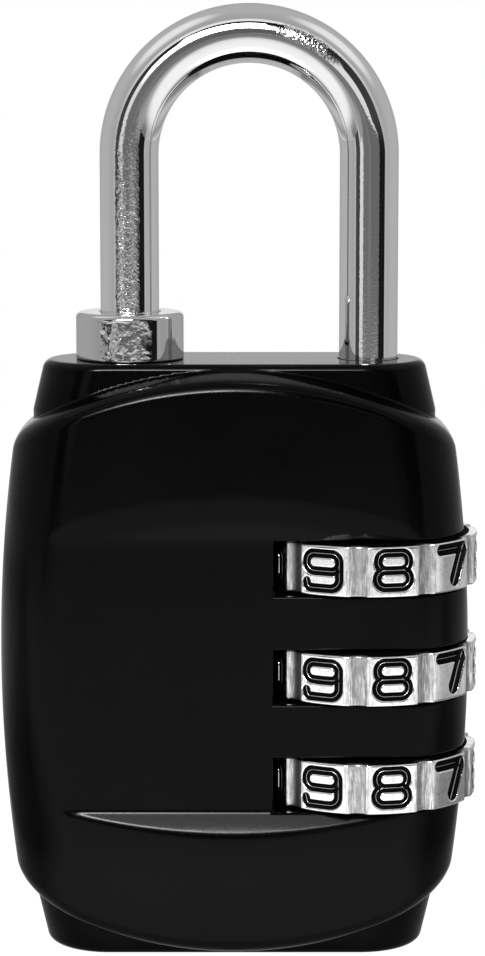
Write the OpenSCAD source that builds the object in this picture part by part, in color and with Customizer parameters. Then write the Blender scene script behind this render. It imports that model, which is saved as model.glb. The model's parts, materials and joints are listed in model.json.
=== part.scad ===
// Small luggage padlock with three number dials on the long leg of its shackle.
// Origin: middle of the base. +X right, +Y back, +Z up. Millimetres.

/* [Body] */
// Height of the body casting
body_h = 40.6; // [38:0.1:44]
// Half width of the barrel band at mid height
band_half_w = 16.03; // [15.8:0.01:17]
// Half depth of the bulges above and below the flat panel
bulge_half_d = 7.1; // [6.9:0.1:7.6]
// Half depth of the flat panel
panel_half_d = 6.3; // [6.1:0.1:6.6]
// Half depth of the end blocks that show above and below the band
block_half_d = 4.5; // [4.4:0.1:4.8]

/* [Shackle] */
// Diameter of the shackle wire
wire_d = 4; // [3.8:0.1:4.1]
// Distance between the two legs
leg_gap = 16.2; // [15.8:0.1:16.6]
// X of the long leg, which is also the dials' axis
spindle_x = 9.1; // [8.9:0.1:9.4]
// Height of the bend's centre
bend_z = 54.4; // [50:0.1:60]
// Height that the shackle lifts when it opens
lift = 4.2; // [4:0.1:4.3]

/* [Dials] */
// Radius of a dial over its number pads
dial_r = 7.6; // [7.4:0.05:7.8]
// Height of a dial
dial_h = 3.4; // [3.2:0.1:3.5]
// Distance from one dial to the next
dial_pitch = 7.4; // [7.2:0.1:7.6]
// Height of the lowest dial's centre
dial_low_z = 12.3; // [12:0.1:12.6]
// Numbers on a dial
pads = 10; // [10:1:10]
// Turn of the number that faces the front, towards +X
pad_turn = 11.5; // [0:0.5:18]

/* [Socket collar] */
// Diameter of the collar
collar_d = 7.35; // [7:0.05:7.6]
// Height of the collar above the body
collar_h = 3.2; // [2.8:0.1:3.4]

/* [Hidden] */
$fn = 96;
wire_r = wire_d / 2;
toe_x = spindle_x - leg_gap;
bend_r = leg_gap / 2;
bend_x = spindle_x - bend_r;
dial_z = [for (i = [2, 1, 0]) dial_low_z + i * dial_pitch];
groove_a = -90 + pad_turn - 180 / pads;
detent_a = groove_a - 2 * 360 / pads;

// Running clearances
gap = 0.1;
fit = 0.05;
slot_gap = 0.16;
slide_gap = 0.07;
close_gap = 0.03;
stop_gap = 0.13;

// Body outline, seen from the front: the band between its shoulders, and the end blocks
side_curve_r = 105;
shoulder_z = 5;
block_half_w = 13.7;
block_top_half_w = 12.9;
block_foot_z = 3.4;
tuck_w = 0.2;
tuck_h = 0.24;
arch_r = 29;
arch_centre_z = 10.35;
arch_edge_ramp = 0.9;
arch_ramp = 0.2;

// The flat panel between the two bulges, and the slopes that end it
panel_low_z = 10.5;
panel_low_slope = 1.6;
panel_high_z = 29.6;
panel_high_slope = 1.9;
bulge_curve_r = 90;
corner_r = 4.7;
block_corner_r = 4.3;

// The bore that the tumblers stand in
bore_r = 3.1;
bore_top_z = 31.7;
leg_hole_r = wire_r + fit;
slot_x = 2.6;
pocket_r = dial_r + 0.3;

// The tumbler sleeves, measured from the middle of their dial
sleeve_low = 3.2;
sleeve_high = 4.1;
sleeve_r = 2.55;
sleeve_flange_r = bore_r - slide_gap;
sleeve_flange_h = 0.95;
chamber_r = 1.75;
lock_low = 2.8;
lock_high = 3.9;
tooth_low = 0.45;
tooth_high = 1.55;
tooth_w = 0.75;
tooth_r = 2.98;
teeth = 5;
notch_low = 0.3;

// The spindle on the long leg
core_r = 1.1;
fin_r = 1.65;
fin_w = 0.9;
fin_h = 1.2;
spindle_end_z = 3.2;
clip_h = 0.4;
clip_r = 2;
clip_neck_r = 0.8;

// Washers, spring and plug
top_washer_z = 31.25;
top_washer_h = 0.4;
thrust_washer_z = 8.35;
thrust_washer_h = 0.6;
clip_z = thrust_washer_z - stop_gap - lift - clip_h;
washer_r = 3;
plug_z = 0.15;
plug_top_z = 2.6;
press = 0.02;
spring_r = 2.5;
spring_wire_r = 0.25;
spring_turns = 4.5;

// Detent balls and their springs, in blind holes behind the dials
ball_r = 0.75;
ball_hole_r = 0.8;
ball_hole_end = 11.5;
ball_at = dial_r + ball_r + close_gap;
groove_r = 0.9;
groove_depth = 0.35;
detent_spring_r = 0.48;
detent_wire_r = 0.11;
detent_turns = 5;
detent_seat = 0.72;

// Socket collar
collar_r = collar_d / 2;
stem_r = 2.8;
stem_end_z = body_h - 3.7;
toe_z = body_h + 0.2;
toe_edge_h = 0.6;
toe_edge_w = 0.5;
socket_floor_z = body_h - 0.7;
edge = 0.3;

// ---- outlines -------------------------------------------------------------

// Half width of the band at height z: an arc of large radius
function band_w(z) = band_half_w - pow(z - body_h / 2, 2) / (2 * side_curve_r);

// Mirrors a list of quarter points into a closed outline about both axes
function four_way(q) = let (n = len(q)) concat(
    q,
    [for (i = [n - 1:-1:0]) [q[i][0], -q[i][1]]],
    [for (p = q) [-p[0], -p[1]]],
    [for (i = [n - 1:-1:0]) [-q[i][0], q[i][1]]]);

// A quarter of the band's plan: a shallow arc in front and a round corner
band_flat_w = sqrt((bulge_half_d - panel_half_d) * 2 * bulge_curve_r);
band_quarter = concat(
    [for (i = [1:6]) let (x = band_flat_w * i / 7) [x, bulge_half_d - x * x / (2 * bulge_curve_r)]],
    [for (a = [90:-10:0]) [
        band_flat_w + (band_half_w + close_gap - band_flat_w) * cos(a),
        panel_half_d - corner_r + corner_r * sin(a)]]);

// A quarter of the end blocks' plan
block_quarter = [for (a = [90:-10:0]) [
    block_half_w - block_corner_r + block_corner_r * cos(a),
    block_half_d - block_corner_r + block_corner_r * sin(a)]];

// The band's outline from the front, its right side from shoulder to shoulder
band_side = concat(
    [[block_half_w - tuck_w, block_foot_z - tuck_h]],
    [for (i = [0:16]) let (z = shoulder_z + (body_h - 2 * shoulder_z) * i / 16) [band_w(z), z]],
    [[block_half_w - tuck_w, body_h - block_foot_z + tuck_h]]);
band_outline = concat(band_side, [for (i = [len(band_side) - 1:-1:0]) [-band_side[i][0], band_side[i][1]]]);

block_outline = [
    [-block_top_half_w + edge, 0], [block_top_half_w - edge, 0], [block_top_half_w, edge],
    [block_half_w, block_foot_z], [block_half_w, body_h - block_foot_z],
    [block_top_half_w, body_h - edge], [block_top_half_w - edge, body_h],
    [-block_top_half_w + edge, body_h], [-block_top_half_w, body_h - edge],
    [-block_half_w, body_h - block_foot_z], [-block_half_w, block_foot_z],
    [-block_top_half_w, edge]];

// ---- helpers --------------------------------------------------------------

// Extrudes an outline drawn in X and Z through the whole depth
module from_front(points) {
    rotate([90, 0, 0]) linear_extrude(height = 40, center = true) polygon(points);
}

// Places things on the spindle's axis
module on_spindle() {
    translate([spindle_x, 0, 0]) children();
}

// Lays +X along the detents' direction at a dial's height
module at_detent(i) {
    translate([spindle_x, 0, dial_z[i]]) rotate([0, 0, detent_a]) children();
}

module ring(outer, inner, z, h) {
    difference() {
        translate([0, 0, z]) cylinder(r = outer, h = h);
        translate([0, 0, z - 1]) cylinder(r = inner, h = h + 2);
    }
}

// A coil spring along +Z with its wire centre starting and ending inside its length
module coil(radius, wire, z0, z1, turns) {
    sides = 8;
    steps = 16 * turns;
    rise = z1 - z0 - 2 * wire;
    points = [for (i = [0:steps]) for (s = [0:sides - 1]) let (
        a = 360 * turns * i / steps,
        b = 360 * s / sides,
        r = radius + wire * cos(b))
        [r * cos(a), r * sin(a), z0 + wire + rise * i / steps + wire * sin(b)]];
    walls = [for (i = [0:steps - 1]) for (s = [0:sides - 1]) let (n = (s + 1) % sides)
        [i * sides + s, i * sides + n, (i + 1) * sides + n, (i + 1) * sides + s]];
    start = [for (s = [sides - 1:-1:0]) s];
    finish = [for (s = [0:sides - 1]) steps * sides + s];
    polyhedron(points = points, faces = concat(walls, [start], [finish]), convexity = 6);
}

// ---- body -----------------------------------------------------------------

// A disc about a line along Y: its faces have a steep edge and then a gentle ramp, which gives the band its arches
module arch_disc() {
    face = 7.8;
    knee = 6.6;
    inner = 4.3;
    r_face = arch_r - (face - bulge_half_d) * arch_edge_ramp;
    r_knee = arch_r + (bulge_half_d - knee) * arch_edge_ramp;
    r_inner = r_knee + (knee - inner) * arch_ramp;
    translate([0, 0, arch_centre_z]) rotate([90, 0, 0]) rotate_extrude() polygon([
        [0, -face], [r_face, -face], [r_knee, -knee], [r_inner, -inner],
        [r_inner, inner], [r_knee, knee], [r_face, face], [0, face]]);
}

// The space in front of the flat panel, with a slope at each end
module panel_cut() {
    far = 12;
    step = bulge_half_d - panel_half_d;
    rotate([90, 0, 90]) linear_extrude(height = 40, center = true) polygon([
        [-panel_half_d, panel_low_z],
        [-panel_half_d, panel_high_z],
        [-panel_half_d - 2 * step, panel_high_z + 2 * panel_high_slope],
        [-far, panel_high_z + 2 * panel_high_slope],
        [-far, panel_low_z - 2 * panel_low_slope],
        [-panel_half_d - 2 * step, panel_low_z - 2 * panel_low_slope]]);
}

module band() {
    difference() {
        intersection() {
            linear_extrude(height = body_h) polygon(four_way(band_quarter));
            from_front(band_outline);
            arch_disc();
            translate([0, 0, body_h]) mirror([0, 0, 1]) arch_disc();
        }
        panel_cut();
        mirror([0, 1, 0]) panel_cut();
    }
}

module end_blocks() {
    intersection() {
        linear_extrude(height = body_h) polygon(four_way(block_quarter));
        from_front(block_outline);
    }
}

// The slot that a dial shows through, with the round pocket behind it
module dial_slot(z) {
    h = dial_h + 2 * slot_gap;
    translate([0, 0, z - h / 2]) linear_extrude(height = h) union() {
        translate([slot_x, -15]) square([25, 30]);
        translate([spindle_x, 0]) circle(r = pocket_r);
    }
}

module body_casting() {
    color("#141414") difference() {
        union() {
            band();
            end_blocks();
        }
        on_spindle() translate([0, 0, -1]) cylinder(r = bore_r, h = bore_top_z + 1);
        on_spindle() translate([0, 0, bore_top_z - 1]) cylinder(r = leg_hole_r, h = 20);
        translate([toe_x, 0, stem_end_z - gap]) cylinder(r = stem_r, h = 10);
        for (z = dial_z) dial_slot(z);
        for (i = [0:2]) at_detent(i) translate([dial_r, 0, 0]) rotate([0, 90, 0])
            cylinder(r = ball_hole_r, h = ball_hole_end - dial_r);
    }
}

module base_plug() {
    color("#1a1a1a") on_spindle() rotate_extrude() polygon([
        [0, plug_z], [bore_r - edge, plug_z], [bore_r + press, plug_z + edge],
        [bore_r + press, plug_top_z], [0, plug_top_z]]);
}

module socket_collar() {
    top = body_h + collar_h;
    color("#c9ccd0") translate([toe_x, 0, 0]) rotate_extrude() polygon([
        [0, stem_end_z], [stem_r - edge, stem_end_z], [stem_r + press, stem_end_z + edge],
        [stem_r + press, body_h], [collar_r, body_h], [collar_r, top - edge],
        [collar_r - edge, top], [wire_r + fit + edge, top], [wire_r + fit, top - edge],
        [wire_r + fit, socket_floor_z], [0, socket_floor_z]]);
}

// ---- shackle --------------------------------------------------------------

// One fin at its rest height inside a sleeve, on the front of the spindle
module fin(i) {
    z = dial_z[i] - sleeve_low + gap;
    intersection() {
        translate([-fin_w / 2, -3, z]) cube([fin_w, 3, fin_h]);
        translate([0, 0, z - 1]) cylinder(r = fin_r, h = fin_h + 2);
    }
}

module shackle() {
    shoulder = bore_top_z + fit;
    color("#d6d9dc") union() {
        translate([bend_x, 0, bend_z]) rotate([90, 0, 0]) rotate_extrude(angle = 180)
            translate([bend_r, 0]) circle(r = wire_r);
        on_spindle() translate([0, 0, shoulder]) cylinder(r = wire_r, h = bend_z - shoulder);
        translate([toe_x, 0, toe_z + toe_edge_h]) cylinder(r = wire_r, h = bend_z - toe_z - toe_edge_h);
        translate([toe_x, 0, toe_z]) cylinder(r1 = wire_r - toe_edge_w, r2 = wire_r, h = toe_edge_h);
        on_spindle() difference() {
            union() {
                translate([0, 0, spindle_end_z]) cylinder(r = core_r, h = shoulder - spindle_end_z);
                for (i = [0:2]) fin(i);
            }
            ring(core_r + 1, clip_neck_r, clip_z - close_gap, clip_h + 2 * close_gap);
        }
    }
}

// Spring clip in the spindle's neck: it stops the shackle at full lift
module shackle_clip() {
    color("#8e9196") on_spindle() difference() {
        ring(clip_r, clip_neck_r + fit, clip_z, clip_h);
        translate([-clip_neck_r, 0, clip_z - 1]) cube([2 * clip_neck_r, 5, 3]);
    }
}

// ---- dials and tumblers ---------------------------------------------------

module dial_ring(i) {
    low = dial_z[i] - dial_h / 2;
    color("#c4c7cb") on_spindle() difference() {
        translate([0, 0, low]) cylinder(r = dial_r, h = dial_h);
        translate([0, 0, low - 1]) cylinder(r = sleeve_r + slide_gap, h = dial_h + 2);
        translate([0, 0, low - 1]) cylinder(r = tooth_r + gap, h = dial_h / 2 + notch_low + 1);
        for (k = [0:pads - 1]) rotate([0, 0, -90 + pad_turn + 360 * k / pads])
            translate([0, -tooth_w / 2 - gap, low + 1]) cube([tooth_r + gap, tooth_w + 2 * gap, dial_h]);
        for (k = [0:pads - 1]) rotate([0, 0, groove_a + 360 * k / pads])
            translate([dial_r - groove_depth + groove_r, 0, low - 1]) cylinder(r = groove_r, h = dial_h + 2);
    }
}

// Sleeve inside a dial: its teeth drive it with the dial, and its gated ring blocks the spindle's fin
module tumbler_sleeve(i) {
    z = dial_z[i];
    low = z - sleeve_low;
    high = z + sleeve_high;
    color("#b8913f") on_spindle() difference() {
        union() {
            translate([0, 0, low]) cylinder(r = sleeve_r, h = high - low);
            translate([0, 0, low]) cylinder(r = sleeve_flange_r, h = sleeve_flange_h);
            intersection() {
                for (k = [0:teeth - 1]) rotate([0, 0, -90 + pad_turn + 360 * k / teeth])
                    translate([0, -tooth_w / 2, z + tooth_low]) cube([4, tooth_w, tooth_high - tooth_low]);
                translate([0, 0, z]) cylinder(r = tooth_r, h = 3);
            }
        }
        translate([0, 0, low - 1]) cylinder(r = core_r + gap, h = high - low + 2);
        translate([0, 0, low - 1]) cylinder(r = chamber_r, h = lock_low + 1);
        translate([0, 0, low + lock_high]) cylinder(r = chamber_r, h = 10);
        translate([-fin_w / 2 - gap, -chamber_r, low + lock_low - 1]) cube([fin_w + 2 * gap, chamber_r, 3]);
    }
}

module top_washer() {
    color("#9fa3a8") on_spindle() ring(washer_r, chamber_r, top_washer_z, top_washer_h);
}

module thrust_washer() {
    color("#9fa3a8") on_spindle() ring(washer_r, chamber_r, thrust_washer_z, thrust_washer_h);
}

module reset_spring() {
    color("#7d8288") on_spindle()
        coil(spring_r, spring_wire_r, plug_top_z + fit, thrust_washer_z - fit, spring_turns);
}

// ---- detents --------------------------------------------------------------

module detent_ball(i) {
    color("#b4b8bd") at_detent(i) translate([ball_at, 0, 0]) sphere(r = ball_r);
}

module detent_spring(i) {
    color("#7d8288") at_detent(i) rotate([0, 90, 0])
        coil(detent_spring_r, detent_wire_r, ball_at + detent_seat, ball_hole_end - fit, detent_turns);
}

body_casting();
base_plug();
socket_collar();
shackle();
shackle_clip();
dial_ring(0);  // dial_ring_1
dial_ring(1);  // dial_ring_2
dial_ring(2);  // dial_ring_3
tumbler_sleeve(0);  // tumbler_sleeve_1
tumbler_sleeve(1);  // tumbler_sleeve_2
tumbler_sleeve(2);  // tumbler_sleeve_3
top_washer();
thrust_washer();
reset_spring();
detent_ball(0);  // detent_ball_1
detent_ball(1);  // detent_ball_2
detent_ball(2);  // detent_ball_3
detent_spring(0);  // detent_spring_1
detent_spring(1);  // detent_spring_2
detent_spring(2);  // detent_spring_3
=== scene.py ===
"""Looks of the luggage combination padlock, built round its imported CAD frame.
Shapes are worked out in millimetres."""
import json
import math

import bpy
import numpy as np
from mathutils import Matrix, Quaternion, Vector


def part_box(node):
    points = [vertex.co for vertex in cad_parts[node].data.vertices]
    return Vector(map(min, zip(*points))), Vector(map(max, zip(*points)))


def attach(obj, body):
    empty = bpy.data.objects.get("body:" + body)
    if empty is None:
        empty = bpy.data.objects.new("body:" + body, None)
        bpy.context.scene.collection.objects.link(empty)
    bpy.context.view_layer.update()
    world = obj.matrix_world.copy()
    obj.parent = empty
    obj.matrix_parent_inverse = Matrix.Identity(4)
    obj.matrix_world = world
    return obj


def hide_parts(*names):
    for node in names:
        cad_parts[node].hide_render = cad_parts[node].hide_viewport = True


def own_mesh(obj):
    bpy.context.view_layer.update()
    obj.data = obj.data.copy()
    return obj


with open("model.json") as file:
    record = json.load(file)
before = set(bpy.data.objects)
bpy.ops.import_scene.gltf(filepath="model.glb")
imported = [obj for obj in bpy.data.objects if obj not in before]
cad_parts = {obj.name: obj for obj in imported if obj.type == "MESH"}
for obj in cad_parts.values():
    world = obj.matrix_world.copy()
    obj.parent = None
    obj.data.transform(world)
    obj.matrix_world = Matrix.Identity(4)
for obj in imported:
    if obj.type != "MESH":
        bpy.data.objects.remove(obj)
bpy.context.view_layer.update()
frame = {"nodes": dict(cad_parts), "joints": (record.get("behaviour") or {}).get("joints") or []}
MM = 0.001


def box_mm(node):
    """A CAD node's lowest and highest corners, in millimetres."""
    low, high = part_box(node)
    return np.array(low) / MM, np.array(high) / MM


# ---- places, from the frame ---------------------------------------------------

BODY_LOW, BODY_HIGH = box_mm("body_casting")
BODY_H = float(BODY_HIGH[2])
MID_Z = BODY_H / 2
HALF_W = float(-BODY_LOW[0])
DIAL_BOXES = [box_mm(f"dial_ring_{k}") for k in (1, 2, 3)]
AXIS_X = float(DIAL_BOXES[0][0][0] + DIAL_BOXES[0][1][0]) / 2
DIAL_Z = [float(low[2] + high[2]) / 2 for low, high in DIAL_BOXES]
DIAL_R = 7.6
DIAL_H = float(DIAL_BOXES[0][1][2] - DIAL_BOXES[0][0][2])
COLLAR_LOW, COLLAR_HIGH = box_mm("socket_collar")
TOE_X = float(COLLAR_LOW[0] + COLLAR_HIGH[0]) / 2
COLLAR_R = float(COLLAR_HIGH[0] - COLLAR_LOW[0]) / 2
SHACKLE_TOP = float(box_mm("shackle")[1][2])
WIRE_R = 2.0
BEND_R = (AXIS_X - TOE_X) / 2
BEND_X = (AXIS_X + TOE_X) / 2
BEND_Z = SHACKLE_TOP - BEND_R - WIRE_R

# ---- camera, at the photograph's angle ------------------------------------------

CAMERA_DISTANCE = 0.205
CAMERA_DROP = math.radians(8.3)
CAMERA_AIM = Vector((0.00055, 0.0, 0.03234))
camera_data = bpy.data.cameras.new("camera")
camera_data.lens = 112.7
camera_data.clip_start = 0.005
camera = bpy.data.objects.new("camera", camera_data)
camera.location = CAMERA_AIM + Vector((0, -math.cos(CAMERA_DROP), math.sin(CAMERA_DROP))) * CAMERA_DISTANCE
camera.rotation_euler = (math.pi / 2 - CAMERA_DROP, 0, 0)
bpy.context.scene.collection.objects.link(camera)
bpy.context.scene.camera = camera


# ---- mesh helpers ---------------------------------------------------------------


def mesh_object(name, points, faces, materials, material_index=None, normals=None):
    """A smooth-shaded object from points in millimetres and equal-sized faces."""
    mesh = bpy.data.meshes.new(name)
    points = np.asarray(points, np.float32) * MM
    faces = np.asarray(faces, np.int32)
    sides = faces.shape[1]
    mesh.vertices.add(len(points))
    mesh.vertices.foreach_set("co", points.ravel())
    mesh.loops.add(faces.size)
    mesh.loops.foreach_set("vertex_index", faces.ravel())
    mesh.polygons.add(len(faces))
    mesh.polygons.foreach_set("loop_start", np.arange(0, faces.size, sides, dtype=np.int32))
    mesh.polygons.foreach_set("use_smooth", np.ones(len(faces), bool))
    for material in materials:
        mesh.materials.append(material)
    if material_index is not None:
        mesh.polygons.foreach_set("material_index", np.asarray(material_index, np.int32))
    mesh.update()
    mesh.validate()
    if normals is not None:
        mesh.normals_split_custom_set_from_vertices(normals.tolist())
    obj = bpy.data.objects.new(name, mesh)
    bpy.context.scene.collection.objects.link(obj)
    return obj


def grid_faces(rows, columns, wrap_columns=True, wrap_rows=False):
    """Quads of a grid of points stored row by row."""
    i = np.arange(rows if wrap_rows else rows - 1)
    j = np.arange(columns if wrap_columns else columns - 1)
    a, b = np.meshgrid(i, j, indexing="ij")
    a2, b2 = (a + 1) % rows, (b + 1) % columns
    quads = np.stack([a * columns + b, a * columns + b2, a2 * columns + b2, a2 * columns + b], -1)
    return quads.reshape(-1, 4)


def value_noise(points, scale, seed):
    """Smooth noise from -1 to 1 at points in millimetres, with lumps about scale wide."""
    size = 32
    table = np.random.default_rng(seed).uniform(-1, 1, (size, size, size))
    p = np.asarray(points, float) / scale
    cell = np.floor(p).astype(int)
    f = p - cell
    f = f * f * (3 - 2 * f)
    out = 0
    for dx in (0, 1):
        for dy in (0, 1):
            for dz in (0, 1):
                weight = (
                    (f[..., 0] if dx else 1 - f[..., 0])
                    * (f[..., 1] if dy else 1 - f[..., 1])
                    * (f[..., 2] if dz else 1 - f[..., 2])
                )
                corner = (cell + (dx, dy, dz)) % size
                out = out + weight * table[corner[..., 0], corner[..., 1], corner[..., 2]]
    return out


def fade(distance, width):
    """0 where distance is negative, 1 where it is over width, and a straight rise between them."""
    return np.clip(distance / width, 0, 1)


# ---- sums on shader sockets ---------------------------------------------------------


class Varying:
    """A socket's value in a node tree. Sums with it are written as with a number."""

    def __init__(self, tree, socket):
        self.tree = tree
        self.socket = socket

    def do(self, operation, *others):
        return work(self.tree, operation, self, *others)

    def __add__(self, other):
        return self.do("ADD", other)

    def __sub__(self, other):
        return self.do("SUBTRACT", other)

    def __rsub__(self, other):
        return work(self.tree, "SUBTRACT", other, self)

    def __mul__(self, other):
        return self.do("MULTIPLY", other)

    def __truediv__(self, other):
        return self.do("DIVIDE", other)

    __radd__ = __add__
    __rmul__ = __mul__

    def clamped(self):
        return self.do("MAXIMUM", 0.0).do("MINIMUM", 1.0)

    def step(self, start, end):
        """0 up to start, 1 from end on, and a smooth rise between them."""
        node = self.tree.nodes.new("ShaderNodeMapRange")
        node.interpolation_type = "SMOOTHSTEP"
        for name, given in (("Value", self), ("From Min", start), ("From Max", end)):
            feed(self.tree, node.inputs[name], given)
        return Varying(self.tree, node.outputs[0])


def feed(tree, socket, given):
    """Sets a socket to a number, or links it to a socket or a Varying."""
    if isinstance(given, (int, float)):
        socket.default_value = given
    else:
        tree.links.new(given.socket if isinstance(given, Varying) else given, socket)


def work(tree, operation, *inputs):
    """The result of a Math node. The inputs are numbers, sockets or Varyings."""
    node = tree.nodes.new("ShaderNodeMath")
    node.operation = operation
    for socket, given in zip(node.inputs, inputs):
        feed(tree, socket, given)
    return Varying(tree, node.outputs[0])


def mix(low, high, share):
    """low where share is 0, and high where it is 1."""
    return low * (1.0 - share) + high * share


# ---- materials --------------------------------------------------------------------


def new_material(name):
    material = bpy.data.materials.new(name)
    material.use_nodes = True
    return material, material.node_tree, material.node_tree.nodes["Principled BSDF"]


def noise(tree, scale, detail=3.0, roughness=0.5):
    """Noise in object space; scale is in lumps per metre."""
    place = tree.nodes.new("ShaderNodeTexCoord")
    node = tree.nodes.new("ShaderNodeTexNoise")
    node.inputs["Scale"].default_value = scale
    node.inputs["Detail"].default_value = detail
    node.inputs["Roughness"].default_value = roughness
    tree.links.new(place.outputs["Object"], node.inputs["Vector"])
    return node.outputs["Fac"]


def ramp(tree, source, low, high, at=(0.0, 1.0)):
    """Maps a factor to a span of colours or values."""
    node = tree.nodes.new("ShaderNodeValToRGB")
    for stop, position, value in zip(node.color_ramp.elements, at, (low, high)):
        stop.position = position
        stop.color = (*value, 1) if isinstance(value, tuple) else (value, value, value, 1)
    tree.links.new(source, node.inputs["Fac"])
    return node.outputs["Color"]


def bump(tree, shader, height, strength, distance):
    node = tree.nodes.new("ShaderNodeBump")
    node.inputs["Strength"].default_value = strength
    node.inputs["Distance"].default_value = distance
    tree.links.new(height, node.inputs["Height"])
    tree.links.new(node.outputs["Normal"], shader.inputs["Normal"])


def worn_share(tree):
    """The wear that set_wear stores on a mesh."""
    node = tree.nodes.new("ShaderNodeAttribute")
    node.attribute_name = "wear"
    return node.outputs["Fac"]


def set_wear(obj, values):
    """Stores how worn the plating is, from 0 to 1, at each point of a mesh."""
    layer = obj.data.attributes.new("wear", "FLOAT", "POINT")
    layer.data.foreach_set("value", np.clip(values, 0, 1).ravel().astype(np.float32))


def stretched_noise(tree, stretch, detail, turn=(0, 0, 0)):
    """Noise drawn out into lines. stretch is in lumps per metre along each axis, and turn in radians."""
    place = tree.nodes.new("ShaderNodeTexCoord")
    mapping = tree.nodes.new("ShaderNodeMapping")
    mapping.inputs["Rotation"].default_value = turn
    mapping.inputs["Scale"].default_value = stretch
    lines = tree.nodes.new("ShaderNodeTexNoise")
    lines.inputs["Scale"].default_value = 1.0
    lines.inputs["Detail"].default_value = detail
    tree.links.new(place.outputs["Object"], mapping.inputs["Vector"])
    tree.links.new(mapping.outputs["Vector"], lines.inputs["Vector"])
    return lines.outputs["Fac"]


def black_paint(name, base, gloss, grain, sheen=0.088):
    """Satin black paint: a fine grain in its gloss and a slight orange peel."""
    material, tree, shader = new_material(name)
    cloud = noise(tree, 260, 4)
    tree.links.new(
        ramp(tree, cloud, tuple(0.75 * c for c in base), tuple(1.3 * c for c in base), (0.3, 0.7)),
        shader.inputs["Base Color"],
    )
    speckle = noise(tree, 5200, 2, 0.6)
    tree.links.new(ramp(tree, speckle, gloss - 0.03, gloss + 0.05, (0.35, 0.65)), shader.inputs["Roughness"])
    shader.inputs["Specular IOR Level"].default_value = sheen
    bump(tree, shader, speckle, grain, 0.00002)
    return material


def chrome(name, tint, gloss, haze):
    """Plated chrome, hazy in clouds."""
    material, tree, shader = new_material(name)
    cloud = noise(tree, 420, 4, 0.6)
    darker = tuple(0.93 * c for c in tint)
    tree.links.new(ramp(tree, cloud, darker, tint, (0.3, 0.7)), shader.inputs["Base Color"])
    tree.links.new(ramp(tree, cloud, gloss, gloss + haze, (0.35, 0.75)), shader.inputs["Roughness"])
    shader.inputs["Metallic"].default_value = 1.0
    return material


def plated(name, tint, gloss, speckle, depth, worn):
    """Chrome that is pitted where the mesh's wear is high, and darkened there to the share worn.
    speckle is in pits per metre, and depth is in metres."""
    material, tree, shader = new_material(name)
    wear = worn_share(tree)
    pits = noise(tree, speckle, 2, 0.5)
    mottle = ramp(tree, noise(tree, 0.7 * speckle, 3, 0.6), 1.0, 0.0, (0.4, 0.62))
    dull = work(tree, "MULTIPLY", wear, mottle).socket
    colour = ramp(tree, dull, tint, tuple(worn * c for c in tint), (0.05, 0.9))
    tree.links.new(colour, shader.inputs["Base Color"])
    tree.links.new(ramp(tree, dull, gloss, gloss + 0.03, (0.1, 1.0)), shader.inputs["Roughness"])
    shader.inputs["Metallic"].default_value = 1.0
    relief = tree.nodes.new("ShaderNodeBump")
    relief.inputs["Distance"].default_value = depth
    tree.links.new(wear, relief.inputs["Strength"])
    tree.links.new(pits, relief.inputs["Height"])
    tree.links.new(relief.outputs["Normal"], shader.inputs["Normal"])
    return material


def worked_metal(name, tint, gloss, stretch):
    """Turned or drawn metal: fine lines along one way and a mottled colour."""
    material, tree, shader = new_material(name)
    lines = stretched_noise(tree, stretch, 3.0)
    darker = tuple(0.8 * c for c in tint)
    tree.links.new(ramp(tree, lines, darker, tint, (0.3, 0.7)), shader.inputs["Base Color"])
    tree.links.new(ramp(tree, lines, gloss, gloss + 0.15, (0.3, 0.7)), shader.inputs["Roughness"])
    shader.inputs["Metallic"].default_value = 1.0
    bump(tree, shader, lines, 0.3, 0.00001)
    return material


def dial_chrome():
    """Chrome that is bright on the pads, and darker, rougher and hatched with grey in and beside the
    grooves, where the value stored by set_wear is high.
    """
    material, tree, shader = new_material("dial_chrome")
    hatches = [stretched_noise(tree, (9000, 2500, 900), 2.0, (0.2, turn, 0.1)) for turn in (0.6, -0.7)]
    both = work(tree, "MAXIMUM", *hatches).socket
    deep = work(tree, "MULTIPLY_ADD", worn_share(tree), 0.42, both).socket
    stained = tree.nodes.new("ShaderNodeMix")
    stained.data_type, stained.blend_type = "RGBA", "MULTIPLY"
    stained.inputs["Factor"].default_value = 1.0
    tree.links.new(ramp(tree, deep, 0.98, 0.34, (0.68, 1.0)), stained.inputs["A"])
    tree.links.new(ramp(tree, noise(tree, 2600, 3, 0.6), 0.82, 1.0, (0.34, 0.5)), stained.inputs["B"])
    tree.links.new(stained.outputs["Result"], shader.inputs["Base Color"])
    tree.links.new(ramp(tree, deep, 0.06, 0.4, (0.6, 1.0)), shader.inputs["Roughness"])
    shader.inputs["Metallic"].default_value = 1.0
    bump(tree, shader, both, 0.15, 0.00003)
    return material


PAINT = black_paint("black_paint", (0.0006, 0.0006, 0.00065), 0.13, 0.035)
PLUG_PAINT = black_paint("plug_paint", (0.006, 0.006, 0.0065), 0.42, 0.2)
ENAMEL = black_paint("number_enamel", (0.001, 0.001, 0.001), 0.2, 0.1, 0.03)
# painted shade: near-black, rough paint on the dials' top, bottom and bore faces stands in for the shade
# inside the body's slots
DIAL_FACE_SHADE = black_paint("painted_shade_face", (0.002, 0.002, 0.002), 0.6, 0.3, 0.01)
SHACKLE_CHROME = plated("shackle_chrome", (0.86, 0.86, 0.87), 0.035, 6500, 0.000032, 0.7)
COLLAR_CHROME = plated("collar_chrome", (0.68, 0.68, 0.69), 0.05, 4200, 0.000028, 0.8)


DIAL_CHROME = dial_chrome()
GLINT_CHROME = chrome("stroke_glint", (0.55, 0.55, 0.55), 0.3, 0.1)
BRASS = worked_metal("turned_brass", (0.3, 0.2, 0.085), 0.38, (600, 600, 9000))
STEEL = worked_metal("ground_steel", (0.62, 0.62, 0.63), 0.28, (7000, 900, 900))
SPRING_STEEL = worked_metal("spring_steel", (0.4, 0.4, 0.42), 0.3, (5000, 5000, 800))


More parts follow.
